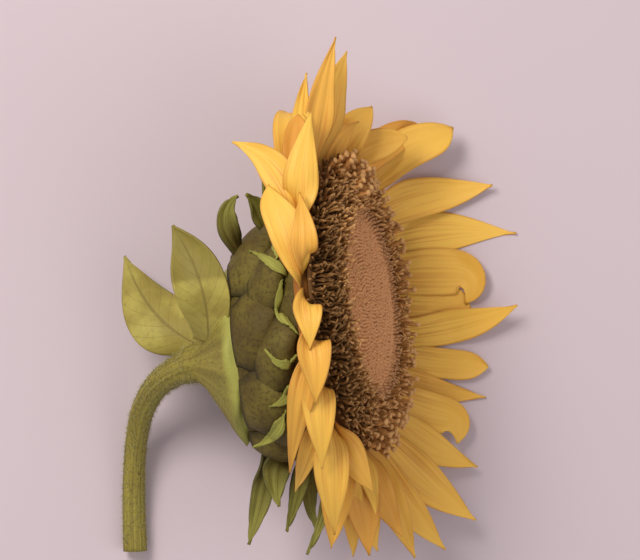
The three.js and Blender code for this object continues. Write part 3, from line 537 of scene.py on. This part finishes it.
# hairs are thin three-sided spikes: a random place on the tube, out along its normal and tipped to a random side
def addHairs(tube):
    count, (rows, sides) = stem["hairs"], tube.shape[:2]
    row, col = rng.integers(0, rows - 1, count), rng.integers(0, sides, count)
    share = rng.random((count, 1))
    foot = tube[row, col] * (1 - share) + tube[row + 1, col] * share
    normal = unit(foot - (tube[row].mean(1) * (1 - share) + tube[row + 1].mean(1) * share))
    clear = foot[:, 2] > stem["hairClear"]  # none where the stem lies on the table
    foot, normal, count = foot[clear], normal[clear], clear.sum()
    side = unit(np.cross(normal, rng.normal(size=(count, 3))))
    over = np.cross(normal, side)
    angle = np.arange(3) * 2 * math.pi / 3
    base = foot[:, None] + stem["hairWidth"] * (side[:, None] * np.cos(angle)[:, None] + over[:, None] * np.sin(angle)[:, None])
    tip = foot + (normal + side * 0.45) * rng.uniform(*stem["hairLength"], (count, 1))
    verts = np.concatenate([base - normal[:, None] * 0.1, tip[:, None]], 1)
    shape = np.array([(0, 1, 3), (1, 2, 3), (2, 0, 3), (2, 1, 0)])
    faces = (shape + np.arange(count)[:, None, None] * 4).reshape(-1, 3)
    m = Shader("hairPale", roughness=0.5)
    fade = m.mix(m.uvParts()[1], linear(150, 140, 80), linear(206, 200, 158))
    uv = np.tile([(0, 0), (0, 0), (0, 0), (0, 1)], (count, 1))
    addMesh("stemHairs", verts.reshape(-1, 3), faces.tolist(), uv, m.finish(fade))


leaf = dict(thickness=1.0, sink=5.0)
leafList = [
    dict(node="neck_leaf_left", place=-76, clock=10, tip=(-88.5, 17.5, 16), via=(-77, -13, 48), width=29, cup=0.3, curl=10,
         side=(0.5, 0.75, 0.43), rootShare=0.4, under=2),
    dict(node="neck_leaf_upper", place=-66, clock=62, tip=(-63.5, 31, 74), via=(-48, 2, 100), width=24, cup=-0.25,
         side=(0.62, 0.3, 0.72), turn=0.8, curl=40, blunt=3, rootShare=0.6, under=0.62),
]


# side veins are the zeros of a sine wave slanted from the midrib; the back of the leaf, tint 1, is darker
def leafMaterial():
    m = Shader("leafGreen", roughness=0.6, Subsurface_Weight=0.06, Subsurface_Scale=1.5 * mm, Specular_IOR_Level=0.35)
    across, along = m.uvParts()[:2]
    edge = m.math("ABSOLUTE", m.math("SUBTRACT", across, 0.5))
    slant = m.math("SUBTRACT", along, m.math("MULTIPLY", edge, 0.55))
    vein = m.math("ABSOLUTE", m.math("SINE", m.math("MULTIPLY", slant, 26)))
    ribs = m.span(vein, 0.16, 0.0)
    midrib = m.span(edge, 0.035, 0.01)
    grain = m.noise(m.place(500), 1.0, detail=4, rough=0.65)
    blotch = m.noise(m.place(70), 1.0, detail=2)
    color = m.mix(m.span(blotch, 0.35, 0.65), linear(168, 154, 72), linear(146, 130, 56))
    color = m.mix(m.math("MULTIPLY", m.attribute("tint"), 0.75), color, linear(124, 110, 42))
    color = m.mix(m.span(grain, 0.5, 0.75, (0, 0.5)), color, linear(122, 104, 44))
    color = m.mix(m.math("MULTIPLY", ribs, 0.35), color, linear(120, 104, 46))
    color = m.mix(m.math("MULTIPLY", midrib, 0.6), color, linear(110, 94, 42))
    height = m.math("SUBTRACT", m.math("MULTIPLY", grain, 0.3), m.math("ADD", m.math("MULTIPLY", ribs, 0.5), midrib))
    return m.finish(color, height, strength=0.4, distance=0.6 * mm)


def makeLeaves():
    material = leafMaterial()
    for spec in leafList:
        spec = dict(spec)
        node, place, clock, under = (spec.pop(key) for key in ("node", "place", "clock", "under"))
        root = ringPoint(coneRings, clock, place)
        root = root - unit(np.array(spec["via"]) - root) * leaf["sink"]
        grid = bladeGrid(root, thickness=leaf["thickness"],
                         **dict(dict(pleat=0.0, wave=1.0, waves=1.6, rows=60, cols=33), **spec))
        verts, faces, uv = thicken(grid, leaf["thickness"])
        tint = smooth((uv[:, 1] - under + 0.1 * uv[:, 0]) / 0.05)  # past the fold the darker back shows
        addMesh(node + "_blade", verts, faces.tolist(), uv, material, [node], tint)


disc = dict(radius=63, budRadius=44, opening=35, back=-3.6, dome=11, fall=13, golden=137.508)
budShape = dict(spacing=1.75, size=(0.82, 1.0), height=(1.9, 2.6), bend=0.3, rise=0, stray=0, scatter=0.3, sides=6,
                profile=[(1.0, 0), (1.05, 0.5), (0.75, 0.8), (0.25, 1.0)])
tubeShape = dict(spacing=1.75, outer=62.3, farOuter=49, size=(0.48, 0.66), height=(5, 11.5), lean=(0, 24), bend=3.4,
                 curl=1.5, stray=13, scatter=0.5, sides=5,
                 profile=[(0.8, 0), (0.85, 0.25), (0.9, 0.45), (1.0, 0.62), (1.1, 0.78), (1.05, 0.92), (0.5, 1.0)])
knobShape = dict(spacing=4.2, inner=49.5, outer=62.3, nearest=0.3, size=(1.1, 1.45), height=(10, 15), lean=(10, 46), bend=2.2,
                 stray=7, scatter=0.7, tint=0.12, sides=8,
                 profile=[(0.6, 0), (0.72, 0.4), (1.0, 0.68), (1.02, 0.74), (0.66, 0.79), (0.62, 0.85), (1.0, 0.9),
                          (1.0, 0.96), (0.4, 1.0)])
stubShape = dict(spacing=2.2, inner=60.4, outer=63, size=(0.7, 0.95), height=(4, 7), lean=(50, 78), bend=1.8, rise=0,
                 stray=9, scatter=0.5, tint=0.95, sides=6,
                 profile=[(0.8, 0), (1.0, 0.4), (1.1, 0.7), (0.8, 0.92), (0.3, 1.0)])


def discTop(radius):  # the disc's surface, a dome that falls with the square of the radius
    return disc["dome"] - disc["fall"] * (radius / disc["radius"]) ** 2


# darker at the foot and paler at the tip of every bud
def budMaterial():
    m = Shader("budTan", roughness=0.75, Specular_IOR_Level=0.2)
    along = m.uvParts()[1]
    color = m.mix(m.attribute("tint"), linear(212, 152, 100), linear(136, 92, 54))
    color = m.mix(m.span(along, 0.5, 0.0, (0, 0.7)), color, linear(126, 84, 50))
    color = m.mix(m.span(along, 0.8, 1.0, (0, 0.5)), color, linear(222, 170, 120))
    return m.finish(color, m.noise(m.place(900), 1.0), strength=0.3, distance=0.3 * mm)


# dark foot, brown tube darker the higher the tint, which on the tubes is painted shade on the disc's upper slope, and a
# tip that is paler the lower the tint
def floretMaterial():
    m = Shader("floretBrown", roughness=0.7, Specular_IOR_Level=0.2)
    along = m.uvParts()[1]
    streak = m.noise(m.uv(9, 2), 1.0, detail=2)
    # a high tint darkens the tube: on the tubes this is painted shade on the disc's upper slope
    color = m.mix(m.attribute("tint"), linear(196, 134, 70), linear(100, 66, 28))
    color = m.mix(m.span(streak, 0.4, 0.65, (0, 0.5)), color, linear(96, 64, 34))
    color = m.mix(m.span(along, 0.6, 0.0, (0, 0.8)), color, linear(66, 44, 22))
    pale = m.math("SUBTRACT", 1.0, m.math("MULTIPLY", m.attribute("tint"), 0.85))
    color = m.mix(m.math("MULTIPLY", m.span(along, 0.8, 0.93), pale), color, linear(208, 158, 100))
    return m.finish(color, m.noise(m.place(900), 1.0), strength=0.3, distance=0.3 * mm)


# places on a golden-angle spiral between two radii: the radius grows with the root of the count
def spiral(inner, outer, spacing):
    grow = spacing * math.sqrt(math.sqrt(0.75) / math.pi)
    k = np.arange(math.ceil((inner / grow) ** 2), int((outer / grow) ** 2))
    return grow * np.sqrt(k + 0.5), k * disc["golden"]


# many copies of one turned profile: its radius and height scaled for each floret, stood on the disc, leaned outwards and
# bent to a random side by the square of the height
def addFlorets(heap, shape, radius, clock, lean, tint, grow=1.0):
    count, sides = len(radius), shape["sides"]
    r, h = np.array(shape["profile"], float).T
    rings = len(r)
    size, height = rng.uniform(*shape["size"], count), rng.uniform(*shape["height"], count) * grow
    upright = 1 - shape.get("rise", 0.8) * np.clip(np.sin(clock * deg), 0, 1)  # the florets on top stand straighter
    stray = rng.normal(0, shape["stray"], (2, count, 1)) * deg
    lean = (lean * upright * deg)[:, None] + stray[0]
    out = outward(clock)
    axis = unit(ahead * np.cos(lean) + out * np.sin(lean) + outward(clock + 90) * stray[1])
    first = unit(np.cross(axis, outward(clock + 90)))
    second = np.cross(axis, first)
    scatter = rng.uniform(-1, 1, (2, count, 1)) * shape["scatter"]
    foot = headPoint(clock, radius, discTop(radius)) - axis + first * scatter[0] + second * scatter[1]
    angle = np.linspace(0, 2 * math.pi, sides, endpoint=False)
    swing, bend = rng.uniform(0, 2 * math.pi, count), shape.get("bend", 0) * rng.uniform(0.2, 1, count)
    aside = (first * np.cos(swing)[:, None] + second * np.sin(swing)[:, None]) * bend[:, None]
    curly = np.cross(axis, unit(aside)) * shape.get("curl", 0)
    wave = np.sin(2 * math.pi * h * rng.uniform(0.7, 1.4, (count, 1)) + swing[:, None]) * h
    middle = foot[:, None] + axis[:, None] * (height[:, None] * h)[..., None] + aside[:, None] * (h ** 2)[None, :, None]
    middle = middle + curly[:, None] * wave[..., None]
    spread = (size[:, None] * r)[:, :, None, None]
    verts = middle[:, :, None] + spread * (first[:, None, None] * np.cos(angle)[:, None]
                                           + second[:, None, None] * np.sin(angle)[:, None])
    start = np.arange(count)[:, None, None] * rings * sides
    ring = np.arange(sides)
    wall = (gridFaces(rings, sides, wrap=True)[None, :, ::-1] + start).reshape(-1, 4)
    ends = np.concatenate([(ring[::-1] + start[:, 0]), (ring + (rings - 1) * sides + start[:, 0])])
    uv = np.stack(np.broadcast_arrays(np.linspace(0, 1, sides), h[:, None]), -1).reshape(-1, 2)
    heap.add(verts.reshape(-1, 3), [wall, ends], np.tile(uv, (count, 1)),
             np.repeat(np.clip(tint + rng.uniform(-0.15, 0.15, count), 0, 1), rings * sides))


# the plate under the florets: a profile of radius and place ahead carried round the axis, its ends closed
def addPlate(heap, profile, closed, sides=128):
    clock = np.linspace(0, 360, sides, endpoint=False)
    grid = np.stack([headPoint(clock, np.full(sides, r), np.full(sides, a)) for r, a in profile])
    ring = np.arange(sides)[None]
    ends = [ring[:, ::-1], ring + (len(profile) - 1) * sides] if closed else []
    heap.add(grid.reshape(-1, 3), [gridFaces(len(profile), sides, True, not closed)[:, ::-1], *ends],
             np.tile([[0.5, 0.1]], (len(profile) * sides, 1)))


def makeDisc():
    edge = disc["budRadius"]
    heap = Heap()
    addPlate(heap, [(edge, disc["back"])] + [(r, discTop(r)) for r in np.linspace(edge, 1, 14)], True)
    radius, clock = spiral(0, edge - 0.6, budShape["spacing"])
    opening = smooth((radius - disc["opening"]) / (edge - disc["opening"]))  # the outer buds are larger and darker
    addFlorets(heap, budShape, radius, clock, radius / edge * 12, 0.15 + 0.7 * opening, 1 + 1.6 * opening)
    heap.make("discBuds", budMaterial(), "bud_tan", ["disc_buds"])

    heap = Heap()
    edge = edge + 0.3
    low = [(edge, disc["back"]), (disc["radius"], disc["back"])]
    addPlate(heap, low + [(r, discTop(r)) for r in np.linspace(disc["radius"], edge, 8)], False)
    for shape in (tubeShape, knobShape, stubShape):
        inner = shape.get("inner", edge + 0.8)
        radius, clock = spiral(inner, shape["outer"], shape["spacing"])
        near = np.clip(np.sin(clock * deg), 0, 1)  # 1 on the upper side, where the tubes reach the rim, have no knobs and get painted shade
        keep = (radius < shape.get("farOuter", 99) + 14 * np.clip(near / 0.3, 0, 1)) & (near < shape.get("nearest", 2))
        radius, clock, near = radius[keep], clock[keep], near[keep]
        share = (radius - inner) / (shape["outer"] - inner)
        lean = shape["lean"][0] + (shape["lean"][1] - shape["lean"][0]) * share
        # the tubes' tint rises towards the rim on the upper side only: painted shade on that slope of the disc
        addFlorets(heap, shape, radius, clock, lean, shape.get("tint", 0.2 + 0.8 * smooth(share * 1.5) * near))
    heap.make("discFlorets", floretMaterial(), "floret_brown", ["disc_florets"])


makePetals()
makeBracts()
makeStem()
makeLeaves()
makeDisc()
print("flower made")

stage = dict(floorColor=(202, 186, 191), lensWidth=392.5, cameraHeight=3.2, lookAt=(0.0004, 0.00855))


def floorMaterial():
    m = Shader("paleFloor", roughness=0.85)
    shade = m.noise(m.place(3), 1.0, detail=1)
    return m.finish(m.mix(shade, linear(*stage["floorColor"]), linear(194, 177, 183)))


floorMesh = bpy.data.meshes.new("floor")
floorMesh.from_pydata([(-3, -3, 0), (3, -3, 0), (3, 3, 0), (-3, 3, 0)], [], [(0, 1, 2, 3)])
floorMesh.materials.append(floorMaterial())
floor = bpy.data.objects.new("floor", floorMesh)
bpy.context.scene.collection.objects.link(floor)


def areaLight(name, place, target, size, power, color=(1, 1, 1)):  # a square lamp turned to face its target
    light = bpy.data.lights.new(name, "AREA")
    light.size, light.energy, light.color = size, power, color
    lamp = bpy.data.objects.new(name, light)
    lamp.location = place
    direction = np.array(target) - np.array(place)
    yaw, tilt = math.atan2(direction[1], direction[0]), math.acos(-direction[2] / np.linalg.norm(direction))
    lamp.rotation_euler = (tilt, 0, yaw - math.pi / 2)
    bpy.context.scene.collection.objects.link(lamp)


areaLight("keyLight", (-0.55, 0.6, 1.1), (0, 0, 0.05), 0.55, 14, (1, 0.97, 0.92))
areaLight("fillLight", (0.9, -0.5, 1.2), (0, 0, 0.05), 1.2, 5, (0.95, 0.97, 1))
world = bpy.data.worlds.new("studio")
world.use_nodes = True
world.node_tree.nodes["Background"].inputs[0].default_value = (0.9, 0.88, 0.9, 1)
world.node_tree.nodes["Background"].inputs[1].default_value = 0.55
bpy.context.scene.world = world
bpy.context.scene.view_settings.view_transform = "Standard"

camera = bpy.data.cameras.new("camera")
camera.lens, camera.sensor_width, camera.sensor_fit = stage["lensWidth"], 36, "HORIZONTAL"
camera.clip_end = 20
cameraObject = bpy.data.objects.new("camera", camera)
cameraObject.location = (*stage["lookAt"], stage["cameraHeight"])
bpy.context.scene.collection.objects.link(cameraObject)
bpy.context.scene.camera = cameraObject
print("stage set")
